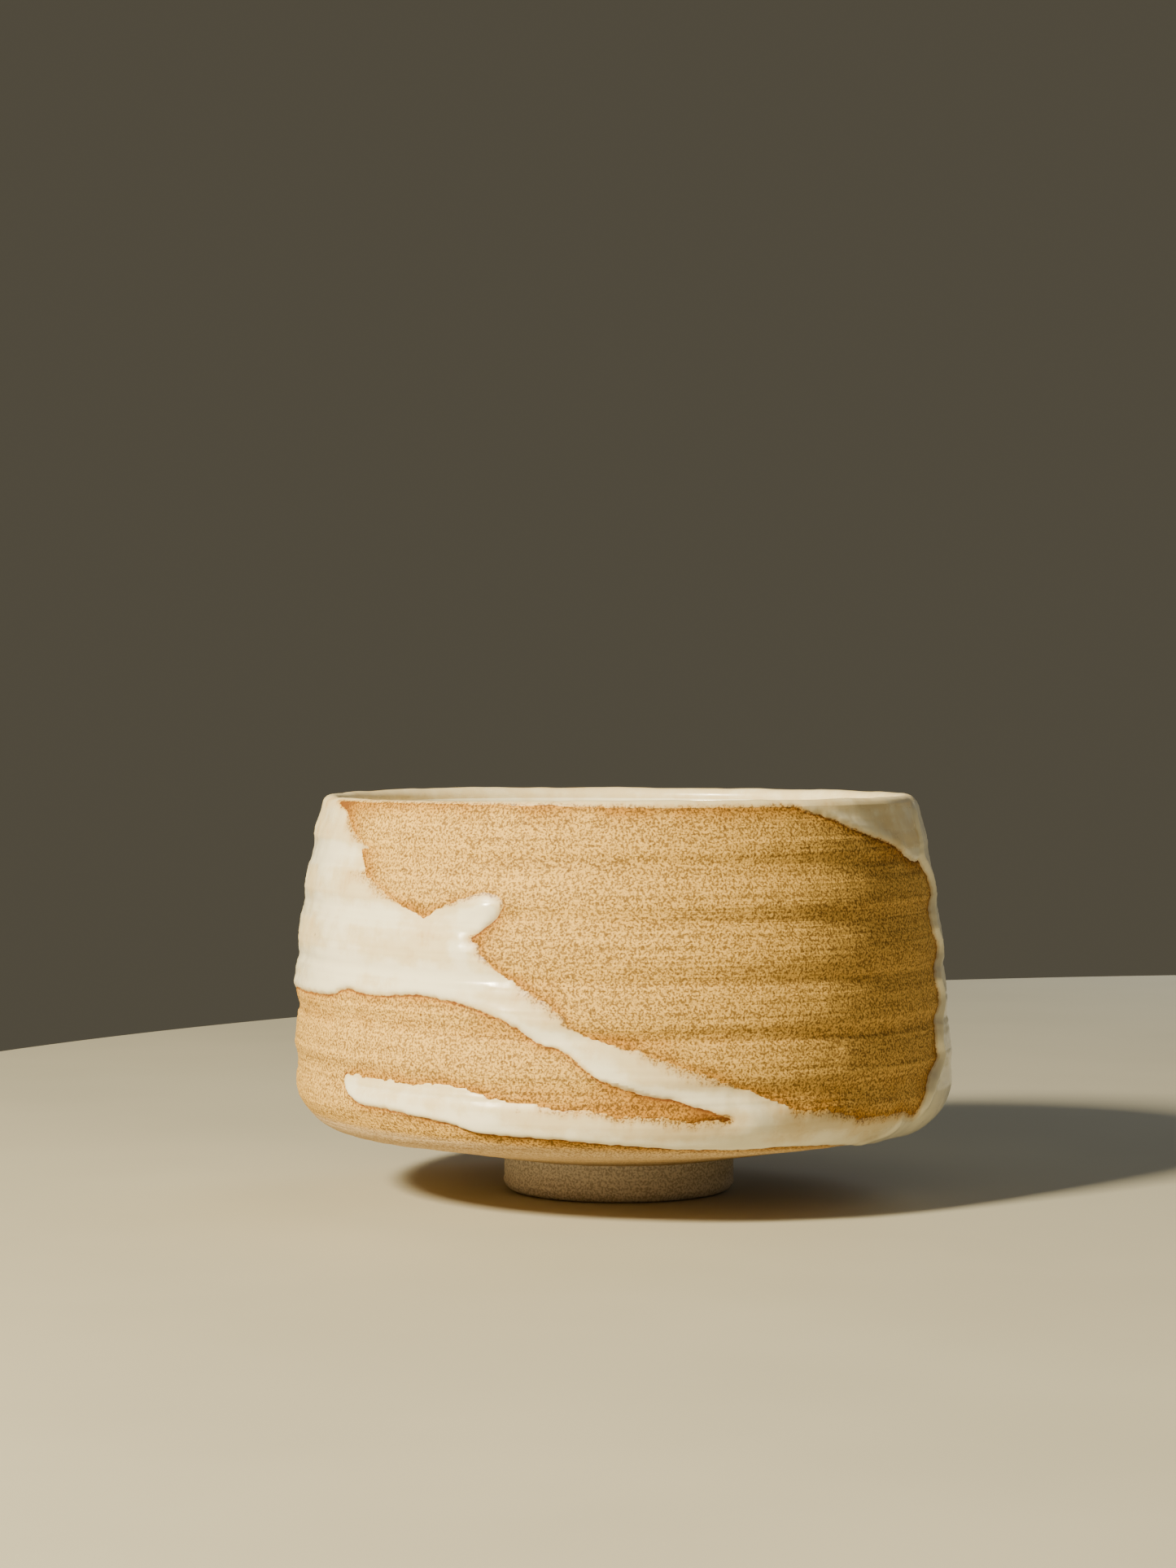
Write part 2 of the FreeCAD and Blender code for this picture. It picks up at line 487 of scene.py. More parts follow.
@dataclass(frozen=True)
class Border:
    """A stretch of the line between glaze and bare clay, as places in degrees and percent."""

    ending: Ending
    places: Places
    wobble: float = 0.06 * MM

    def traced(self, form: BowlForm, spacing: float = 0.15 * MM) -> np.ndarray:
        """The border as close points on the unrolled outside.

        Args:
            form: The form that it lies on.
            spacing: How far apart the points are.

        Returns:
            Rows of the way round at the belly and the run up the outside.
        """
        around = np.radians([degrees for degrees, _ in self.places]) * form.belly_radius
        run = form.run_of(np.array([percent for _, percent in self.places]))
        curve = smooth_through(np.stack([around, run], axis=1), spacing)
        across = np.gradient(curve, axis=0)[:, ::-1] * (1, -1)
        across /= np.linalg.norm(across, axis=1)[:, None]
        flat = np.column_stack([curve, np.zeros(len(curve))])
        uneven = Wander(2.2 * MM, self.wobble, 5).over(flat) + Wander(0.9 * MM, self.wobble / 2, 6).over(flat)
        ends = np.minimum(np.arange(len(curve)), np.arange(len(curve))[::-1]) * spacing
        return curve + across * (uneven * eased(ends, 0, 1.5 * MM))[:, None]


def between(start: float, end: float, first: np.ndarray, last: np.ndarray, t: np.ndarray) -> np.ndarray:
    """Points on the way from one row of points to another.

    Args:
        start: The value of t at the first.
        end: The value of t at the last.
        first: Where the way starts.
        last: Where it ends.
        t: How far along the way each point is.

    Returns:
        One point for each t.
    """
    return (first * (end - t) + last * (t - start)) / (end - start)


def smooth_through(points: np.ndarray, spacing: float) -> np.ndarray:
    """A smooth curve through points, with no loops where they are uneven.

    Args:
        points: The points, one in each row.
        spacing: About how far apart the curve's own points are.

    Returns:
        Points along the curve, one in each row.
    """
    padded = np.vstack([2 * points[0] - points[1], points, 2 * points[-1] - points[-2]])
    curve = [points[:1]]
    for a, b, c, d in zip(padded, padded[1:], padded[2:], padded[3:]):
        steps = (math.sqrt(math.dist(p, q)) for p, q in ((a, b), (b, c), (c, d)))
        at_a, at_b, at_c, at_d = np.cumsum([0.0, *steps])
        count = max(2, math.ceil(math.dist(b, c) / spacing))
        t = np.linspace(at_b, at_c, count + 1)[1:, None]
        ab, bc, cd = between(at_a, at_b, a, b, t), between(at_b, at_c, b, c, t), between(at_c, at_d, c, d, t)
        early, late = between(at_a, at_c, ab, bc, t), between(at_b, at_d, bc, cd, t)
        curve.append(between(at_b, at_c, early, late, t))
    return np.vstack(curve)


# The second, thicker coat on the right ends along this line, from the lip down to the heel.
STRIP_FRONT: Places = (
    (73, 83), (78, 76), (75, 64), (79, 58), (74, 50), (76, 46), (72, 34), (73, 30), (67, 22), (64, 15),
)

# The bare clay in front, clockwise from its top left corner.
BARE_FRONT: tuple[Border, ...] = (
    Border(Ending.THIN, ((-69, 99.5), (-31, 99.5), (4, 98.5), (33, 98.5))),
    Border(Ending.ROLLED, ((33, 98.5), (42, 95), (48, 92), (58, 88), (69, 83), (73, 83))),
    Border(Ending.ROLLED, STRIP_FRONT),
    Border(Ending.THIN, ((64, 15), (56, 17), (46, 17), (37, 20), (31, 21), (22, 26), (5, 36), (-6, 41),
                         (-12, 49), (-20, 56), (-26, 65)), 0.14 * MM),
    Border(Ending.ROLLED, ((-26, 65), (-22, 70), (-20, 74))),
    Border(Ending.THIN, ((-20, 74), (-21, 76), (-24, 77), (-31, 74), (-36, 70)), 0.08 * MM),
    Border(Ending.THIN, ((-36, 70), (-44, 75), (-52, 82), (-55, 87))),
    Border(Ending.THIN, ((-55, 87), (-52, 87.5), (-58, 92), (-63, 97), (-65, 98), (-69, 99.5))),
)

# The lower edge of the glaze, round the bowl from the back and back again.
LOWER_EDGE: tuple[Border, ...] = (
    Border(Ending.ROLLED, ((-180, 24), (-163, 29), (-152, 23), (-140, 33), (-120, 41), (-108, 38),
                           (-96, 44), (-84, 47), (-59, 48), (-54, 50), (-48, 49), (-36, 50))),
    Border(Ending.ROLLED, ((-36, 50), (-27, 48), (-18, 43), (-14, 39), (-10, 37), (-4, 30), (3, 26),
                           (9, 24), (18, 19))),
    Border(Ending.THIN, ((18, 19), (5, 20), (-8, 22), (-20, 24), (-29, 27), (-41, 27), (-54, 28)),
           0.14 * MM),
    Border(Ending.ROLLED, ((-54, 28), (-55, 26), (-53, 22), (-50, 20)), 0.05 * MM),
    Border(Ending.ROLLED, ((-50, 20), (-40, 19), (-30, 17), (-24, 15), (-12, 14), (14, 11), (40, 10),
                           (59, 8))),
    Border(Ending.ROLLED, ((59, 8), (74, 7), (92, 8), (108, 10), (120, 9), (138, 14), (150, 12),
                           (166, 18), (180, 24))),
)

# The whole front edge of the second coat, which also crosses the first one above and below.
SECOND_COAT_FRONT: Places = (
    (79, 100), (74, 97), (73, 88), *STRIP_FRONT, (60, 15), (58, 16), (57, 13), (55, 11), (51, 10), (46, 9),
)


class Coat(Enum):
    """The coats on the outside, each by the node that it stands for."""

    LIP = "lip_glaze"
    LEFT = "left_pour"
    RIGHT = "right_pour"
    DIAGONAL = "diagonal_run"
    STREAM = "lower_stream"


@dataclass(frozen=True)
class Pool:
    """A place where glaze gathered: degrees, percent, how far it reaches and how deep."""

    degrees: float
    percent: float
    reach: float
    depth: float


@dataclass
class GlazeMap:
    """How thick the outer glaze is all over the outside, worked out once on a fine grid."""

    form: BowlForm
    segments: int = 720
    spacing: float = 0.44 * MM
    reach_under: float = 5.0 * MM
    body: float = 0.46 * MM
    film: float = 0.08 * MM
    feather: float = 1.1 * MM
    drain_reach: float = 2.6 * MM
    bead: float = 0.17 * MM
    bead_reach: float = 0.95 * MM
    second_body: float = 0.46 * MM
    second_roll: float = 1.3 * MM
    second_bead: float = 0.5                # its bead, as a share of the second coat
    second_bead_in: float = 1.2 * MM
    second_bead_reach: float = 0.8 * MM
    bead_in: float = 1.15 * MM              # how far in a rolled edge stands highest
    crisp: float = 0.4 * MM                 # how far in the lining is full at a bare nick
    roll: float = 0.95 * MM                 # how far in a rolled edge reaches its full height
    lip_thinning: float = 0.1 * MM          # how much glaze drains from the upper wall
    sunk: float = 0.3 * MM
    toast_reaches: tuple[float, ...] = (1.5 * MM, 4.5 * MM)
    pools: tuple[Pool, ...] = (
        Pool(-23.7, 73.6, 1.9 * MM, 0.75 * MM),
        Pool(-27.5, 72.0, 2.4 * MM, 0.2 * MM),
        Pool(-27.9, 62.8, 2.2 * MM, 0.6 * MM),
        Pool(-51.5, 23.5, 3.2 * MM, 0.22 * MM),
        Pool(-24.0, 17.8, 3.4 * MM, 0.28 * MM),
        Pool(22.5, 18.0, 4.0 * MM, 0.2 * MM),
        Pool(-4.0, 33.0, 3.0 * MM, 0.12 * MM),
        Pool(-58.0, 52.0, 4.5 * MM, 0.15 * MM),
        Pool(86.0, 21.0, 13.0 * MM, 0.95 * MM),
        Pool(72.0, 11.0, 6.0 * MM, 0.45 * MM),
    )
    theta: np.ndarray = field(init=False)
    run: np.ndarray = field(init=False)
    inside: np.ndarray = field(init=False)
    edge: np.ndarray = field(init=False)
    thin_edge: np.ndarray = field(init=False)
    rolled_edge: np.ndarray = field(init=False)
    height: np.ndarray = field(init=False)
    toast: np.ndarray = field(init=False)

    def __post_init__(self) -> None:
        """Works out where glaze lies, how far each place is from its edge, and how thick it is."""
        form = self.form
        heel_run = float(np.interp(form.heel_radius, form.outside.radius[:2], form.outside.run[:2]))
        start = heel_run - self.reach_under
        rows = math.ceil((form.outside.length - start) / self.spacing) + 1
        self.run = np.linspace(start, form.outside.length, rows)
        self.theta = np.linspace(-math.pi, math.pi, self.segments, endpoint=False)
        front = [border.traced(form) for border in BARE_FRONT]
        lower = [border.traced(form) for border in LOWER_EDGE]
        second = Border(Ending.ROLLED, SECOND_COAT_FRONT).traced(form)
        self.inside = self.filled(np.vstack(front)) ^ self.crossings(np.vstack(lower))
        endings = [border.ending for border in (*BARE_FRONT, *LOWER_EDGE)]
        traced = front + lower
        self.thin_edge = self.distance([t for t, e in zip(traced, endings) if e is Ending.THIN])
        self.rolled_edge = self.distance([t for t, e in zip(traced, endings) if e is Ending.ROLLED])
        self.edge = np.minimum(self.thin_edge, self.rolled_edge)
        self.height = self.thickness(second)
        self.toast = self.toasting()

    def filled(self, outline: np.ndarray) -> np.ndarray:
        """Which grid places a closed outline goes round.

        Args:
            outline: The outline's points on the unrolled outside.

        Returns:
            A grid of true and false, one row for each run and one column for each turn.
        """
        return self.crossings(np.vstack([outline, outline[:1]]))

    def crossings(self, line: np.ndarray) -> np.ndarray:
        """Whether a line is crossed an odd number of times on the way up to each place.

        Args:
            line: The line's points on the unrolled outside.

        Returns:
            A grid of true and false, one row for each run and one column for each turn.
        """
        odd = np.zeros((len(self.run), self.segments), bool)
        around = self.theta * self.form.belly_radius
        for (x0, y0), (x1, y1) in zip(line, line[1:]):
            left, right = min(x0, x1), max(x0, x1)
            first, last = np.searchsorted(around, [left, right])
            for column in range(first, last):
                crossing = y0 + (y1 - y0) * (around[column] - x0) / (x1 - x0)
                odd[np.searchsorted(self.run, crossing):, column] ^= True
        return odd

    def distance(self, lines: list[np.ndarray]) -> np.ndarray:
        """How far each grid place is from the nearest of some lines.

        Args:
            lines: The lines' points on the unrolled outside.

        Returns:
            The distances, on the grid.
        """
        whole_way = math.tau * self.form.belly_radius
        near_back = whole_way / 2 - 12 * MM
        points = np.vstack(lines)
        round_left = points[points[:, 0] > near_back] - (whole_way, 0)
        round_right = points[points[:, 0] < -near_back] + (whole_way, 0)
        points = np.vstack([points, round_left, round_right])
        tree = KDTree(len(points))
        for index, (around, run) in enumerate(points):
            tree.insert((around, run, 0), index)
        tree.balance()
        around = self.theta * self.form.belly_radius
        found = [[tree.find((x, y, 0))[2] for x in around] for y in self.run]
        return np.array(found)

    def thickness(self, second_front: np.ndarray) -> np.ndarray:
        """How far the glaze stands above the clay, and below it outside the coats.

        Args:
            second_front: The front edge of the second coat, on the unrolled outside.

        Returns:
            The thickness on the grid, negative where the clay is bare.
        """
        form = self.form
        theta, run = np.meshgrid(self.theta, self.run)
        degrees = np.degrees(theta)
        around = theta * form.belly_radius
        level = form.outside.at(run.ravel())[1].reshape(run.shape)
        percent = form.percent_of(level)
        space = form.on_outside(theta.ravel(), run.ravel(), np.zeros(run.size))

        uneven = Wander(14 * MM, 0.06 * MM, 11).over(space) + Wander(5 * MM, 0.025 * MM, 12).over(space)
        body = self.body + uneven.reshape(run.shape) - self.lip_thinning * eased(percent, 50, 100)
        for pool in self.pools:
            away = np.hypot(around - math.radians(pool.degrees) * form.belly_radius,
                            run - form.run_of(np.array(pool.percent)))
            body = body + pool.depth * bump_at(away, pool.reach)

        behind = np.vstack([second_front, [[math.pi * form.belly_radius * 1.01, second_front[-1, 1]],
                                           [math.pi * form.belly_radius * 1.01, second_front[0, 1]]]])
        under_second = self.filled(behind) & (degrees > 45)
        second_edge = self.distance([second_front]) * under_second
        second = 1 - (1 - np.clip(second_edge / self.second_roll, 0, 1)) ** 2
        swell = bump_at(second_edge - self.second_bead_in, self.second_bead_reach)
        second = second + self.second_bead * swell * under_second
        fading = (1 - eased(degrees, 115, 160)) * (0.15 + 0.85 * eased(percent, 8, 15)) * under_second
        lip_fading = 1 - eased(percent, 97, 100)
        body = body + self.second_body * second * fading * lip_fading

        sharper = 1 - 0.6 * eased(percent, 93, 97)
        drained = 1 - np.exp(-((self.thin_edge / (self.drain_reach * sharper)) ** 1.5))
        feathered = 1 - (1 - np.clip(self.thin_edge / (self.feather * sharper), 0, 1)) ** 2
        rounded = 1 - (1 - np.clip(self.rolled_edge / self.roll, 0, 1)) ** 2
        crisp = 1 - (1 - np.clip(self.thin_edge / self.crisp, 0, 1)) ** 2
        beads = self.bead * bump_at(self.rolled_edge - self.bead_in, self.bead_reach)
        height = (self.film * feathered + (body - self.film + beads) * drained) * rounded

        over_lip = form.lip_radius * math.pi
        lip_share = np.clip((run - (form.outside.length - over_lip)) / over_lip, 0, 1)
        inner = eased(lip_share, 0.35, 1.0)
        height = height * (1 - inner) + form.coat * inner * crisp
        bare = -np.minimum(self.edge, self.sunk)
        return np.where(self.inside, height, bare)

    def toasting(self) -> np.ndarray:
        """How strongly glaze round a place toasts the clay: about 1 beside a straight edge."""
        return sum(2 * self.blurred(reach) for reach in self.toast_reaches) / len(self.toast_reaches)

    def blurred(self, reach: float) -> np.ndarray:
        """The share of each grid place's neighbourhood that is glazed.

        Args:
            reach: How wide the neighbourhood is.

        Returns:
            The share, from 0 to 1, on the grid.
        """
        share = self.inside.astype(float)
        half, kernel = bell(reach / (self.form.belly_radius * math.tau / self.segments))
        wrapped = np.hstack([share[:, -half:], share, share[:, :half]])
        share = np.stack([np.convolve(row, kernel, "valid") for row in wrapped])
        half, kernel = bell(reach / self.spacing)
        padded = np.vstack([share[:1].repeat(half, 0), share, share[-1:].repeat(half, 0)])
        return np.stack([np.convolve(line, kernel, "valid") for line in padded.T], axis=1)

    def sample(self, grid: np.ndarray, theta: np.ndarray, run: np.ndarray) -> np.ndarray:
        """A grid's value between its places.

        Args:
            grid: One of the map's grids.
            theta: Turn from the front, in radians.
            run: How far along the outside.

        Returns:
            The value at each place.
        """
        column = (theta + math.pi) / math.tau * self.segments
        row = np.clip((run - self.run[0]) / (self.run[1] - self.run[0]), 0, len(self.run) - 1.001)
        left, low = np.floor(column).astype(int), np.floor(row).astype(int)
        across, up = column - left, row - low
        left, right = left % self.segments, (left + 1) % self.segments
        lower = grid[low, left] * (1 - across) + grid[low, right] * across
        upper = grid[low + 1, left] * (1 - across) + grid[low + 1, right] * across
        return lower * (1 - up) + upper * up

    def coat_of(self, degrees: float, run: float) -> Coat:
        """Which coat a glazed place belongs to.

        Args:
            degrees: Turn from the front.
            run: How far along the outside.

        Returns:
            The coat.
        """
        form = self.form
        if run > form.run_of(form.percent_of_wall_top):
            return Coat.LIP
        percent = float(form.percent_of(form.outside.at(run)[1]))
        if degrees > 178 or (degrees < -35.8 and percent > 30) or degrees < -70:
            return Coat.LEFT
        if degrees > 60.5 or (degrees > 25 and percent > 60):
            return Coat.RIGHT
        return Coat.DIAGONAL if percent > self.seam_at(degrees) else Coat.STREAM

    @staticmethod
    def seam_at(degrees: float) -> float:
        """The percent that parts the diagonal run from the stream.

        Args:
            degrees: Turn from the front.

        Returns:
            The height, in percent: level on the left, down through the bare window, and then
            along the seam where the two coats have run together.
        """
        if degrees > 17.7:
            return float(np.interp(degrees, (18, 31, 46, 61), (19.1, 16.4, 14.2, 15)))
        return 29 - 0.55 * max(degrees + 0.7, 0)


# ------------------------------------------------------------------------------ mesh building


def spun(chain: np.ndarray, runs: np.ndarray, segments: int) -> bmesh.types.BMesh:
    """A chain of points spun round the bowl's axis, as one sector and then its copies.

    Args:
        chain: Rows of radius and level.
        runs: One value for each point, kept on its whole ring as the layer "run".
        segments: How many steps the whole turn takes, a multiple of the sectors.

    Returns:
        The surface, with its seam and poles closed and its faces outwards.
    """
    bm = bmesh.new()
    layer = bm.verts.layers.float.new("run")
    verts = [bm.verts.new((0.0, radius, level)) for radius, level in chain]
    for vert, run in zip(verts, runs):
        vert[layer] = run
    edges = [bm.edges.new(pair) for pair in zip(verts, verts[1:])]
    sector = math.tau / SECTORS
    bmesh.ops.spin(bm, geom=verts + edges, cent=(0, 0, 0), axis=(0, 0, 1), dvec=(0, 0, 0),
                   angle=sector, steps=segments // SECTORS, use_duplicate=False)
    bmesh.ops.spin(bm, geom=[*bm.verts, *bm.edges, *bm.faces], cent=(0, 0, 0), axis=(0, 0, 1),
                   dvec=(0, 0, 0), angle=math.tau - sector, steps=SECTORS - 1, use_duplicate=True)
    bmesh.ops.remove_doubles(bm, verts=bm.verts, dist=0.002 * MM)
    bmesh.ops.recalc_face_normals(bm, faces=bm.faces)
    outwards = sum(face.normal.xy.dot(face.calc_center_median().xy) for face in bm.faces)
    if outwards < 0:
        bmesh.ops.reverse_faces(bm, faces=bm.faces)
    return bm


def read_points(mesh: bpy.types.Mesh) -> np.ndarray:
    """The places of a mesh's vertices.

    Args:
        mesh: The mesh.

    Returns:
        Rows of x, y and z.
    """
    flat = np.empty(len(mesh.vertices) * 3)
    mesh.vertices.foreach_get("co", flat)
    return flat.reshape(-1, 3)


def read_layer(mesh: bpy.types.Mesh, name: str) -> np.ndarray:
    """A float layer of a mesh's vertices.

    Args:
        mesh: The mesh.
        name: The layer's name.

    Returns:
        One value for each vertex.
    """
    values = np.empty(len(mesh.vertices))
    mesh.attributes[name].data.foreach_get("value", values)
    return values


def write_layer(mesh: bpy.types.Mesh, name: str, values: np.ndarray) -> None:
    """Keeps one float for each vertex, for a finish to read."""
    layer = mesh.attributes.get(name) or mesh.attributes.new(name, "FLOAT", "POINT")
    layer.data.foreach_set("value", values.astype(np.float32))


def turn_of(points: np.ndarray) -> np.ndarray:
    """The turn from the front of each point, in radians."""
    return np.arctan2(points[:, 0], -points[:, 1])


def finished_piece(name: str, bm: bmesh.types.BMesh, node: str) -> bpy.types.Object:
    """Makes a mesh a piece of the bowl that stands for a node of the frame.

    Args:
        name: The piece's name.
        bm: Its mesh, which is freed.
        node: The node that it stands for.

    Returns:
        The piece.
    """
    mesh = bpy.data.meshes.new(name)
    bm.to_mesh(mesh)
    bm.free()
    piece = bpy.data.objects.new(name, mesh)
    bpy.context.scene.collection.objects.link(piece)
    mesh.polygons.foreach_set("use_smooth", [True] * len(mesh.polygons))
    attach(piece, BODY)
    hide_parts(node)
    log.info("%s: %d faces, for %s", name, len(mesh.polygons), node)
    return piece


# ---------------------------------------------------------------------------------- finishes


@dataclass
class Wiring:
    """One material's nodes, and short ways to add and join them."""

    material: bpy.types.Material

    def __post_init__(self) -> None:
        """Starts from an empty shader."""
        self.material.use_nodes = True
        self.tree = self.material.node_tree
        self.tree.nodes.clear()
        self.shader = self.tree.nodes.new("ShaderNodeBsdfPrincipled")
        output = self.tree.nodes.new("ShaderNodeOutputMaterial")
        self.join(self.shader.outputs["BSDF"], output.inputs["Surface"])
        self.place = self.tree.nodes.new("ShaderNodeTexCoord").outputs["Object"]

    def join(self, source: bpy.types.NodeSocket, target: bpy.types.NodeSocket) -> None:
        """Links two sockets."""
        self.tree.links.new(source, target)

    def feed(self, target: bpy.types.NodeSocket, value: Fed) -> None:
        """Gives a socket its value.

        Args:
            target: The socket.
            value: A number, a colour, or another socket to link.
        """
        if isinstance(value, bpy.types.NodeSocket):
            self.join(value, target)
        elif isinstance(value, tuple):
            target.default_value = (*value, 1.0)[:len(target.default_value)]
        else:
            target.default_value = value

    def layer(self, name: str) -> bpy.types.NodeSocket:
        """A float layer of the piece's own mesh.

        Args:
            name: The layer's name.

        Returns:
            Its value.
        """
        node = self.tree.nodes.new("ShaderNodeAttribute")
        node.attribute_name = name
        return node.outputs["Fac"]

    def stretched(self, scale: tuple[float, float, float], tilt: float = 0.0) -> bpy.types.NodeSocket:
        """Object coordinates, scaled along each axis and tilted about Y.

        Args:
            scale: How much along each axis.
            tilt: How far they turn, in radians.

        Returns:
            The coordinates.
        """
        node = self.tree.nodes.new("ShaderNodeMapping")
        self.join(self.place, node.inputs["Vector"])
        node.inputs["Scale"].default_value = scale
        node.inputs["Rotation"].default_value = (0.0, tilt, 0.0)
        return node.outputs["Vector"]

    def noise(self, scale: float, detail: float = 2.0, roughness: float = 0.5,
              vector: bpy.types.NodeSocket | None = None) -> bpy.types.NodeSocket:
        """Noise about 0.5.

        Args:
            scale: How many lumps to the metre, or to the unit of vector.
            detail: How many finer layers it has.
            roughness: How strong they are.
            vector: Where to read it, or None for the object's own coordinates.

        Returns:
            The noise's value.
        """
        node = self.tree.nodes.new("ShaderNodeTexNoise")
        self.join(vector or self.place, node.inputs["Vector"])
        node.inputs["Scale"].default_value = scale
        node.inputs["Detail"].default_value = detail
        node.inputs["Roughness"].default_value = roughness
        return node.outputs["Fac"]

    def specks(self, scale: float, size: float, rarity: float) -> bpy.types.NodeSocket:
        """Small scattered dots, 1 in a dot and 0 between.

        Args:
            scale: How many cells to the metre.
            size: A dot's radius as a share of a cell.
            rarity: The share of cells that hold no dot.

        Returns:
            The dots' strength.
        """
        node = self.tree.nodes.new("ShaderNodeTexVoronoi")
        self.join(self.place, node.inputs["Vector"])
        node.inputs["Scale"].default_value = scale
        split = self.tree.nodes.new("ShaderNodeSeparateColor")
        self.join(node.outputs["Color"], split.inputs["Color"])
        chosen = self.remap(split.outputs["Red"], rarity, rarity + 0.02)
        dot = self.remap(node.outputs["Distance"], size * 1.3, size * 0.7)
        return self.sum("MULTIPLY", chosen, dot)

    def remap(self, value: bpy.types.NodeSocket, low: float, high: float,
              to_low: float = 0.0, to_high: float = 1.0) -> bpy.types.NodeSocket:
        """A value eased from one range to another, and held at its ends.

        Args:
            value: The value.
            low: Where its range starts.
            high: Where it ends.
            to_low: What the start becomes.
            to_high: What the end becomes.

        Returns:
            The eased value.
        """
        node = self.tree.nodes.new("ShaderNodeMapRange")
        node.interpolation_type = "SMOOTHSTEP"
        for name, number in (("From Min", low), ("From Max", high), ("To Min", to_low), ("To Max", to_high)):
            node.inputs[name].default_value = number
        self.join(value, node.inputs["Value"])
        return node.outputs["Result"]

    def sum(self, operation: str, first: Fed, second: Fed) -> bpy.types.NodeSocket:
        """A sum of two numbers or sockets.

        Args:
            operation: What a Math node does with them.
            first: The first number, or a socket.
            second: The second number, or a socket.

        Returns:
            The result.
        """
        node = self.tree.nodes.new("ShaderNodeMath")
        node.operation = operation
        self.feed(node.inputs[0], first)
        self.feed(node.inputs[1], second)
        return node.outputs[0]

    def mix(self, share: Fed, first: Fed, second: Fed) -> bpy.types.NodeSocket:
        """A colour between two colours.

        Args:
            share: How much of the second, from 0 to 1.
            first: The first colour, or a socket.
            second: The second colour, or a socket.

        Returns:
            The mixed colour.
        """
        node = self.tree.nodes.new("ShaderNodeMix")
        node.data_type = "RGBA"
        self.feed(node.inputs["Factor"], share)
        self.feed(node.inputs[6], first)
        self.feed(node.inputs[7], second)
        return node.outputs[2]

    def relief(self, parts: list[tuple[bpy.types.NodeSocket, float]]) -> None:
        """Small relief on the surface.

        Args:
            parts: Pairs of a height from 0 to 1 and how far 1 stands out.
        """
        below = None
        for height, depth in parts:
            node = self.tree.nodes.new("ShaderNodeBump")
            node.inputs["Distance"].default_value = depth
            self.join(height, node.inputs["Height"])
            if below:
                self.join(below, node.inputs["Normal"])
            below = node.outputs["Normal"]
        self.join(below, self.shader.inputs["Normal"])


@dataclass(frozen=True)
class Stoneware:
    """Bare toasted stoneware: pale and dark grains, fine turned lines, flashing by the glaze, and painted
    shade beside the rolled glaze beads and in the throwing grooves.
    """

    pale_grain: Colour = tone(235, 186, 93)
    dark_grain: Colour = tone(137, 102, 48)
    pale_toast: Colour = tone(194, 136, 50)
    dark_toast: Colour = tone(110, 74, 25)
    pit: Colour = tone(104, 72, 34)
    scorched: Colour = tone(116, 68, 28)
    turned_pale: Colour = tone(224, 194, 144)
    turned_dark: Colour = tone(178, 144, 98)
    # Painted shade: the dark line on the bare clay right beside a rolled glaze bead.
    glaze_bead_shade: Colour = tone(112, 62, 26)
    grains_per_metre: float = 2500.0
    line_tilt: float = 0.012

    def colour(self, wiring: Wiring) -> bpy.types.NodeSocket:
        """Wires the clay's colour.

        Args:
            wiring: The material that it goes into.

        Returns:
            The colour.
        """
        grain = wiring.remap(wiring.noise(self.grains_per_metre, 3.0, 0.62), 0.40, 0.58)
        line = wiring.noise(1.0, 3.0, 0.6, wiring.stretched((22, 22, 1100), self.line_tilt))
        grain = wiring.sum("ADD", grain, wiring.remap(line, 0.3, 0.7, -0.16, 0.16))
        # On the clay body the toast layer also holds painted shade in the throwing grooves and painted light
        # on their crests.
        toasting = wiring.sum("ADD", wiring.layer("toast"),
                              wiring.remap(wiring.noise(160, 2.0), 0.3, 0.7, -0.18, 0.18))
        toast = wiring.remap(toasting, 0.1, 1.15)
        bare = wiring.mix(grain, self.dark_grain, self.pale_grain)
        toasted = wiring.mix(grain, self.dark_toast, self.pale_toast)
        turned = wiring.mix(grain, self.turned_dark, self.turned_pale)
        wall = wiring.mix(toast, bare, toasted)
        pits = wiring.sum("MULTIPLY", wiring.specks(1350, 0.27, 0.4), 0.62)
        wall = wiring.mix(pits, wall, self.pit)
        wall = wiring.mix(wiring.remap(toasting, 1.1, 1.7, 0.0, 0.85), wall, self.scorched)
        return wiring.mix(wiring.layer("turned"), wall, turned)

    def material(self, name: str) -> bpy.types.Material:
        """The finish as a material.

        Args:
            name: The material's name.

        Returns:
            The material.
        """
        wiring = Wiring(bpy.data.materials.new(name))
        clay = self.colour(wiring)
        # Painted shade line, strongest right beside the rolled beads and gone within about half a millimetre.
        line = wiring.remap(wiring.layer("shore"), 0.08 * MM, 0.45 * MM, 0.9, 0.0)
        wiring.join(wiring.mix(line, clay, self.glaze_bead_shade), wiring.shader.inputs["Base Color"])
        dullness = wiring.remap(wiring.noise(900, 2.0), 0.3, 0.7, 0.66, 0.84)
        wiring.join(dullness, wiring.shader.inputs["Roughness"])
        wiring.shader.inputs["Specular IOR Level"].default_value = 0.15
        grit = wiring.noise(1500, 3.0, 0.6)
        lines = wiring.noise(1.0, 4.0, 0.6, wiring.stretched((16, 16, 1300), self.line_tilt))
        bands = wiring.noise(1.0, 2.0, 0.5, wiring.stretched((8, 8, 430), self.line_tilt))
        wiring.relief([(bands, 0.4 * MM), (lines, 0.26 * MM), (grit, 0.08 * MM)])
        return wiring.material


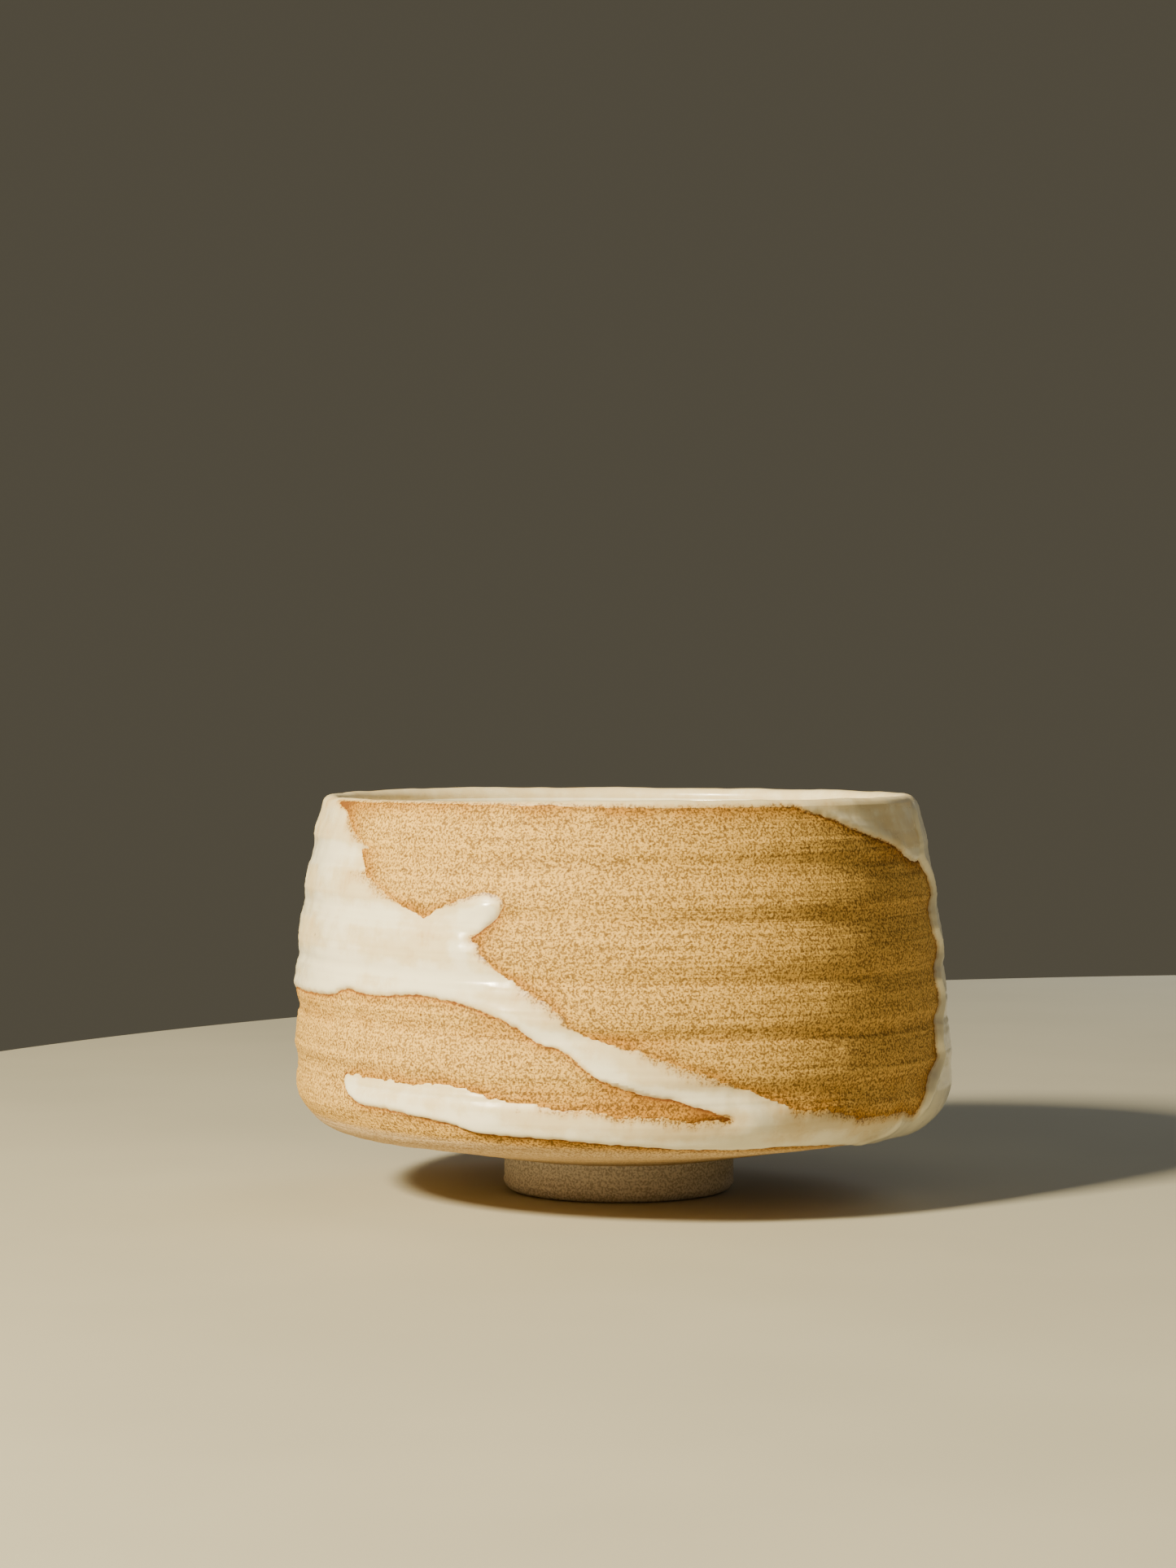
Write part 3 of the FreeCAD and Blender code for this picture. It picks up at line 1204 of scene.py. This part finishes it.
@dataclass(frozen=True)
class WhiteGlaze:
    """Satin white glaze: white where it is thick, beige where it thins, and clay where it breaks."""

    thick: Colour = tone(250, 239, 206)
    middle: Colour = tone(232, 210, 162)
    thin: Colour = tone(212, 176, 112)
    speck: Colour = tone(150, 132, 104)
    clay: Stoneware = Stoneware()
    roughness: tuple[float, float] = (0.13, 0.24)
    thin_dulling: float = 0.3

    def material(self, name: str) -> bpy.types.Material:
        """The finish as a material.

        Args:
            name: The material's name.

        Returns:
            The material.
        """
        wiring = Wiring(bpy.data.materials.new(name))
        film = wiring.layer("film")
        cloud = wiring.remap(wiring.noise(240, 4.0, 0.6), 0.3, 0.7, -0.11 * MM, 0.11 * MM)
        grain = wiring.remap(wiring.noise(self.clay.grains_per_metre, 3.0, 0.62), 0.36, 0.64,
                             -0.055 * MM, 0.055 * MM)
        run_marks = wiring.remap(wiring.noise(1.0, 2.0, 0.5, wiring.stretched((1100, 1100, 260))), 0.3, 0.7,
                                 -0.02 * MM, 0.02 * MM)
        clouded = wiring.sum("MULTIPLY", cloud, wiring.remap(film, 0.05 * MM, 0.3 * MM))
        depth = wiring.sum("ADD", wiring.sum("ADD", film, clouded), run_marks)
        white = wiring.mix(wiring.remap(depth, 0.2 * MM, 0.58 * MM), self.middle, self.thick)
        coat = wiring.mix(wiring.remap(depth, 0.03 * MM, 0.2 * MM), self.thin, white)
        broken = wiring.remap(wiring.sum("ADD", wiring.sum("ADD", film, grain), run_marks),
                              0.0, 0.1 * MM, 1.0, 0.0)
        coat = wiring.mix(broken, coat, self.clay.colour(wiring))
        coat = wiring.mix(wiring.specks(240, 0.07, 0.9), coat, self.speck)
        wiring.join(coat, wiring.shader.inputs["Base Color"])
        dulling = wiring.remap(film, 0.08 * MM, 0.45 * MM, self.thin_dulling, 0.0)
        gloss = wiring.remap(wiring.noise(500, 2.0), 0.3, 0.7, *self.roughness)
        wiring.join(wiring.sum("ADD", gloss, dulling), wiring.shader.inputs["Roughness"])
        wiring.shader.inputs["Specular IOR Level"].default_value = 0.5
        wiring.relief([(wiring.noise(260, 2.0), 0.06 * MM), (wiring.noise(1300, 2.0), 0.012 * MM)])
        return wiring.material


@dataclass(frozen=True)
class StudioPaint:
    """The plain matt surface of the table."""

    colour: Colour = tone(180, 173, 152)

    def material(self, name: str) -> bpy.types.Material:
        """The finish as a material.

        Args:
            name: The material's name.

        Returns:
            The material.
        """
        wiring = Wiring(bpy.data.materials.new(name))
        cloud = wiring.remap(wiring.noise(14, 3.0), 0.3, 0.7)
        shade = tuple(part * 0.94 for part in self.colour)
        wiring.join(wiring.mix(cloud, shade, self.colour), wiring.shader.inputs["Base Color"])
        wiring.shader.inputs["Roughness"].default_value = 0.7
        return wiring.material


# -------------------------------------------------------------------------------- the pieces


@dataclass
class ClayBody:
    """The thrown and toasted clay: underside, heel, wall, lip and the hidden inside."""

    form: BowlForm
    glaze: GlazeMap
    segments: int = 456
    under_spacing: float = 2.0 * MM
    hidden_sag: float = 0.05 * MM
    turned_level: float = 14.0 * MM
    turned_fall: float = 1.9 * MM
    nipple_height: float = 0.5 * MM
    nipple_reach: float = 2.6 * MM

    def chain(self) -> tuple[np.ndarray, np.ndarray]:
        """The half section, from the middle of the foot's recess to the middle of the floor.

        Returns:
            Rows of radius and level, and each point's run, which is -1 off the outside.
        """
        form = self.form
        recess = np.append(np.arange(0, form.recess_radius, self.under_spacing), form.recess_radius)
        runs = np.append(np.arange(0, self.glaze.run[0], self.under_spacing), self.glaze.run)
        hidden = form.inside.sparse(self.hidden_sag)[1:]
        radius = np.concatenate([recess, form.outside.at(runs)[0], form.inside.at(hidden)[0]])
        level = np.concatenate([np.full(len(recess), form.foot_height), form.outside.at(runs)[1],
                                form.inside.at(hidden)[1]])
        marked = np.concatenate([np.full(len(recess), -1.0), runs, np.full(len(hidden), -1.0)])
        return np.stack([radius, level], axis=1), marked

    def build(self) -> bpy.types.Object:
        """Makes the piece.

        Returns:
            The piece, with the layers that its finish reads.
        """
        form = self.form
        bm = spun(*self.chain(), self.segments)
        piece = finished_piece("stoneware_body", bm, "clay_body")
        mesh = piece.data
        points, run = read_points(mesh), read_layer(mesh, "run")
        theta = turn_of(points)
        radius, level = np.hypot(points[:, 0], points[:, 1]), points[:, 2]
        outside = run > -0.5 * MM
        turning = 0.05 * MM * np.sin(math.tau * radius / (1.9 * MM) - theta)
        nipple = self.nipple_height * bump_at(radius, self.nipple_reach)
        recess = (~outside) & (level < form.foot_height + 0.1 * MM)
        level = np.where(recess, level + turning * eased(radius, 1 * MM, 3 * MM) - nipple, level)
        grit = Wander(6 * MM, 0.03 * MM, 3).over(points)
        lift = form.marks_at(theta, run) + grit
        placed = np.where(outside[:, None], form.on_outside(theta, np.maximum(run, 0), lift),
                          form.settled(theta, radius, level))
        mesh.vertices.foreach_set("co", placed.ravel())
        where_glazed = outside & (run >= self.glaze.run[0])
        # Distance from the glaze edge, on bare clay measured only from the rolled beads; the clay's finish
        # paints a shade line there.
        edge = np.where(self.glaze.inside, -self.glaze.edge, self.glaze.rolled_edge)
        shore = self.glaze.sample(edge, theta, run)
        write_layer(mesh, "shore", np.where(where_glazed, np.abs(shore), 1.0))
        toast = self.glaze.sample(self.glaze.toast, theta, run)
        # Taking the throwing marks off the toast paints shade into the grooves and light onto the crests, on
        # top of the real flashing.
        toast = np.where(where_glazed, toast, 0.0) - 0.55 * form.marks_at(theta, run) / MM
        write_layer(mesh, "toast", toast)
        boundary = self.turned_level - self.turned_fall * np.sin(theta)
        turned = 1 - eased(placed[:, 2] - boundary, -0.9 * MM, 0.5 * MM)
        write_layer(mesh, "turned", turned)
        mesh.update()
        return piece

    def dress(self, piece: bpy.types.Object) -> None:
        """Gives the piece its bare clay."""
        piece.data.materials.append(Stoneware().material("toasted_stoneware"))


@dataclass
class FootRing:
    """The foot, turned from the same clay: a plain ring with worn edges."""

    form: BowlForm
    segments: int = 384
    outer_round: float = 1.9 * MM
    inner_round: float = 0.9 * MM
    into_body: float = 0.3 * MM
    turning_depth: float = 0.035 * MM

    def chain(self) -> np.ndarray:
        """The ring's closed half section, from its inner top round its standing face.

        Returns:
            Rows of radius and level.
        """
        form = self.form
        outer, inner, top = form.foot_radius, form.recess_radius, form.foot_height + self.into_body
        turn = np.linspace(0, math.pi / 2, 10)
        inner_low = [(inner + self.inner_round * (1 - math.cos(t)), self.inner_round * (1 - math.sin(t)))
                     for t in turn]
        outer_low = [(outer - self.outer_round * (1 - math.sin(t)), self.outer_round * (1 - math.cos(t)))
                     for t in turn]
        rise_in = [(inner, z) for z in np.linspace(top, self.inner_round, 12)[:-1]]
        flat = [(x, 0.0) for x in np.linspace(inner + self.inner_round, outer - self.outer_round, 8)[1:-1]]
        rise_out = [(outer, z) for z in np.linspace(self.outer_round, top, 14)[1:]]
        return np.array([*rise_in, *inner_low, *flat, *outer_low, *rise_out, (inner, top)])

    def build(self) -> bpy.types.Object:
        """Makes the piece.

        Returns:
            The piece, with the layers that its finish reads.
        """
        chain = self.chain()
        bm = spun(chain, np.zeros(len(chain)), self.segments)
        piece = finished_piece("turned_foot_ring", bm, "foot_ring")
        mesh = piece.data
        points = read_points(mesh)
        theta = turn_of(points)
        radius, level = np.hypot(points[:, 0], points[:, 1]), points[:, 2]
        fine, coarse = np.sin(level / (0.21 * MM) + theta), np.sin(level / (0.37 * MM) - 2 * theta)
        lines = self.turning_depth * (fine + coarse)
        side = eased(level, 0.3 * MM, 1.5 * MM)
        uneven = Wander(5 * MM, 0.04 * MM, 21).over(points)
        radius = radius + (lines + uneven) * side
        lift = Wander(7 * MM, 0.03 * MM, 22).over(points)
        standing = level < 0.05 * MM
        level = np.where(standing, np.abs(lift), level)
        placed = np.stack([radius * np.sin(theta), -radius * np.cos(theta), level], axis=1)
        mesh.vertices.foreach_set("co", placed.ravel())
        for name, value in (("shore", 1.0), ("toast", 0.0), ("turned", 1.0)):
            write_layer(mesh, name, np.full(len(points), value))
        mesh.update()
        return piece

    def dress(self, piece: bpy.types.Object) -> None:
        """Gives the foot its darker, rubbed clay."""
        clay = Stoneware(turned_pale=tone(228, 214, 190), turned_dark=tone(178, 161, 136))
        piece.data.materials.append(clay.material("rubbed_foot_clay"))


@dataclass
class OuterCoats:
    """The coats on the outside and the lip, cut from one continuous skin of glaze."""

    form: BowlForm
    glaze: GlazeMap
    seat: float = 0.4 * MM
    breaking: float = 0.2 * MM      # how much thinner glaze looks where it breaks over the lip

    def skin(self) -> bmesh.types.BMesh:
        """The glaze's whole outer surface, bare places left out.

        Returns:
            The surface, with the layers that its finish reads.
        """
        form, glaze = self.form, self.glaze
        radius, level = form.outside.at(glaze.run)
        bm = spun(np.stack([radius, level], axis=1), glaze.run, glaze.segments)
        mesh = bpy.data.meshes.new("glaze_skin")
        bm.to_mesh(mesh)
        theta, run = turn_of(read_points(mesh)), read_layer(mesh, "run")
        height = glaze.sample(glaze.height, theta, run)
        marks = form.marks_at(theta, run)
        filling = 0.25 * marks * np.clip(height / (0.4 * MM), 0, 1)
        placed = form.on_outside(theta, run, marks + height - filling)
        mesh.vertices.foreach_set("co", placed.ravel())
        wall_top = float(form.run_of(form.percent_of_wall_top))
        over_lip = self.breaking * eased(run, wall_top - 1.5 * MM, wall_top + 0.5 * MM)
        thinned = np.clip(0.7 * marks + over_lip, -0.2 * MM, 0.4 * np.maximum(height, 0))
        write_layer(mesh, "film", height - thinned)
        write_layer(mesh, "toast", np.minimum(glaze.sample(glaze.toast, theta, run), 0.5))
        write_layer(mesh, "turned", np.zeros(len(theta)))
        write_layer(mesh, "height", height)
        write_layer(mesh, "turn", theta)
        bm.clear()
        bm.from_mesh(mesh)
        bpy.data.meshes.remove(mesh)
        layer = bm.verts.layers.float["height"]
        bare = [face for face in bm.faces if all(vert[layer] < 0 for vert in face.verts)]
        bmesh.ops.delete(bm, geom=bare, context="FACES")
        return bm

    def build(self) -> list[bpy.types.Object]:
        """Makes the pieces.

        Returns:
            One piece for each coat.
        """
        skin = self.skin()
        run_layer, turn_layer = (skin.verts.layers.float[name] for name in ("run", "turn"))
        coats = {coat: set() for coat in Coat}
        for face in skin.faces:
            turns = [vert[turn_layer] for vert in face.verts]
            middle = sum(turns) / len(turns) if max(turns) - min(turns) < math.pi else math.pi
            run = sum(vert[run_layer] for vert in face.verts) / len(face.verts)
            coats[self.glaze.coat_of(math.degrees(middle), run)].add(face.index)
        pieces = [self.cut_out(skin, coat, faces) for coat, faces in coats.items()]
        skin.free()
        return pieces

    def cut_out(self, skin: bmesh.types.BMesh, coat: Coat, indices: set[int]) -> bpy.types.Object:
        """One coat as a closed solid whose back is seated in the clay.

        Args:
            skin: The whole outer surface.
            coat: Which coat.
            indices: The skin's faces that belong to it.

        Returns:
            The piece.
        """
        bm = skin.copy()
        bm.faces.ensure_lookup_table()
        others = [face for face in bm.faces if face.index not in indices]
        bmesh.ops.delete(bm, geom=others, context="FACES")
        front = list(bm.faces)
        made = bmesh.ops.extrude_face_region(bm, geom=front, use_keep_orig=True)
        back = [part for part in made["geom"] if isinstance(part, bmesh.types.BMVert)]
        run_layer, turn_layer = (bm.verts.layers.float[name] for name in ("run", "turn"))
        run = np.array([vert[run_layer] for vert in back])
        theta = np.array([vert[turn_layer] for vert in back])
        lift = self.form.marks_at(theta, run) - self.seat
        for vert, place in zip(back, self.form.on_outside(theta, run, lift)):
            vert.co = place
        bmesh.ops.recalc_face_normals(bm, faces=bm.faces)
        fronts = set(front)
        for edge in bm.edges:
            if len({face in fronts for face in edge.link_faces}) == 2:
                edge.smooth = False
        return finished_piece(f"{coat.value}_coat", bm, coat.value)

    def dress(self, pieces: list[bpy.types.Object]) -> None:
        """Gives every coat the same white glaze.

        Args:
            pieces: The coats.
        """
        glaze = WhiteGlaze().material("poured_white_glaze")
        for piece in pieces:
            piece.data.materials.append(glaze)


@dataclass
class Lining:
    """The glaze inside, from the lip down to the tea pool."""

    form: BowlForm
    segments: int = 504
    spacing: float = 0.9 * MM
    back_sag: float = 0.03 * MM
    spiral_pitch: float = 7.5 * MM
    spiral_height: float = 0.16 * MM
    seat: float = 0.15 * MM

    def chain(self) -> tuple[np.ndarray, np.ndarray]:
        """The closed half section: the glazed face from lip to middle, then its back.

        Returns:
            Rows of radius and level, and each point's run, which is negative on the back.
        """
        inside = self.form.inside
        face = np.linspace(0, inside.length, math.ceil(inside.length / self.spacing))
        back = inside.sparse(self.back_sag)[::-1]
        runs = np.concatenate([face, back, face[:1]])
        lift = np.concatenate([np.full(len(face), self.form.coat), np.full(len(back), -self.seat),
                               [self.form.coat]])
        radius, level = inside.at(runs)
        out, up = inside.facing(runs)
        marked = np.concatenate([face, -1 - back, face[:1]])
        return np.stack([np.maximum(radius + out * lift, 0), level + up * lift], axis=1), marked

    def build(self) -> bpy.types.Object:
        """Makes the piece.

        Returns:
            The piece, with the layers that its finish reads.
        """
        form = self.form
        chain, runs = self.chain()
        piece = finished_piece("lining_coat", spun(chain, runs, self.segments), "inner_glaze")
        mesh = piece.data
        points, run = read_points(mesh), read_layer(mesh, "run")
        theta = turn_of(points)
        face = run > -0.5
        there = np.where(face, run, -1 - run)
        away = form.inside.length - there
        ripple = np.cos(math.tau * away / self.spiral_pitch - theta)
        calm = eased(there, 1 * MM, 9 * MM) * eased(away, 1 * MM, 6 * MM)
        lift = form.coat + self.spiral_height * ripple * calm
        lift = lift + Wander(12 * MM, 0.05 * MM, 31).over(points) * calm
        lift = np.where(face, lift, -self.seat)
        placed = form.on_inside(theta, there, lift)
        mesh.vertices.foreach_set("co", placed.ravel())
        pooled = 0.12 * MM * bump_at(away, 16 * MM)
        write_layer(mesh, "film", lift + 0.1 * MM * calm - 0.5 * (lift - form.coat) + pooled)
        write_layer(mesh, "toast", np.zeros(len(points)))
        write_layer(mesh, "turned", np.zeros(len(points)))
        mesh.update()
        return piece

    def dress(self, piece: bpy.types.Object) -> None:
        """Gives the lining its glossier glaze."""
        piece.data.materials.append(WhiteGlaze(roughness=(0.1, 0.2)).material("lining_white_glaze"))


# -------------------------------------------------------------------------------- the studio


@dataclass(frozen=True)
class SoftLight:
    """A soft square light that faces the bowl."""

    name: str
    turn: float                             # degrees from the front, positive to the right
    rise: float                             # degrees above the table
    away: float
    size: float                             # length of its side
    power: float                            # watts
    colour: Colour
    mirrored: bool = False                  # whether glossy surfaces show it

    def build(self) -> None:
        """Makes the light, aimed at the bowl's middle."""
        data = bpy.data.lights.new(self.name, "AREA")
        data.energy, data.color, data.size = self.power, self.colour, self.size
        light = bpy.data.objects.new(self.name, data)
        bpy.context.scene.collection.objects.link(light)
        across, up = math.radians(self.turn), math.radians(self.rise)
        way = Vector((math.sin(across) * math.cos(up), -math.cos(across) * math.cos(up), math.sin(up)))
        light.location = Vector((0, 0, 0.035)) + way * self.away
        light.rotation_euler = way.to_track_quat("Z", "Y").to_euler()
        light.visible_glossy = self.mirrored


@dataclass
class Studio:
    """A pale table top, soft lights and the camera."""

    table_radius: float = 0.487
    table_middle: tuple[float, float] = (0.276, 0.036)
    camera_place: tuple[float, float, float] = (-0.0057, -0.640, 0.0883)
    camera_pitch: float = 1.22
    lens: float = 79.66
    lights: tuple[SoftLight, ...] = (
        SoftLight("key_light", -45.0, 32.0, 1.1, 0.16, 39.0, (1.0, 0.9, 0.64), True),
        SoftLight("fill_light", 75.0, 30.0, 1.0, 0.9, 0.5, (0.66, 0.8, 1.0)),
        SoftLight("rim_light", 150.0, 22.0, 0.9, 0.5, 2.2, (0.76, 0.86, 1.0)),
    )
    world: Colour = tone(84, 79, 66)

    def build(self) -> None:
        """Makes the table, the lights and the camera."""
        self.make_table()
        for light in self.lights:
            light.build()
        world = bpy.data.worlds.new("studio")
        bpy.context.scene.world = world
        world.use_nodes = True
        world.node_tree.nodes["Background"].inputs["Color"].default_value = (*self.world, 1)
        self.make_camera()

    def make_table(self) -> None:
        """A round pale table top, its surface at the bowl's foot."""
        bm = bmesh.new()
        bmesh.ops.create_circle(bm, cap_ends=True, segments=256, radius=self.table_radius)
        bmesh.ops.translate(bm, verts=bm.verts, vec=(*self.table_middle, -0.1 * MM))
        made = bmesh.ops.extrude_face_region(bm, geom=list(bm.faces))
        lower = [part for part in made["geom"] if isinstance(part, bmesh.types.BMVert)]
        bmesh.ops.translate(bm, verts=lower, vec=(0, 0, -0.03))
        bmesh.ops.recalc_face_normals(bm, faces=bm.faces)
        mesh = bpy.data.meshes.new("table_top")
        bm.to_mesh(mesh)
        bm.free()
        table = bpy.data.objects.new("table_top", mesh)
        bpy.context.scene.collection.objects.link(table)
        mesh.materials.append(StudioPaint().material("pale_table_paint"))

    def make_camera(self) -> None:
        """The camera, level with the lip and looking slightly down."""
        data = bpy.data.cameras.new("camera")
        data.lens = self.lens
        data.clip_start = 0.05
        camera = bpy.data.objects.new("camera", data)
        bpy.context.scene.collection.objects.link(camera)
        camera.location = self.camera_place
        camera.rotation_euler = (math.radians(90 - self.camera_pitch), 0, 0)
        bpy.context.scene.camera = camera


def main() -> None:
    """Builds the bowl piece by piece, then the studio."""
    logging.basicConfig(level=logging.INFO, format="%(message)s")
    form = BowlForm.from_frame()
    glaze = GlazeMap(form)
    clay_body, foot_ring = ClayBody(form, glaze), FootRing(form)
    outer_coats, lining = OuterCoats(form, glaze), Lining(form)
    for maker in (clay_body, foot_ring, outer_coats, lining):
        maker.dress(maker.build())
    Studio().build()


if __name__ == "__main__":
    main()
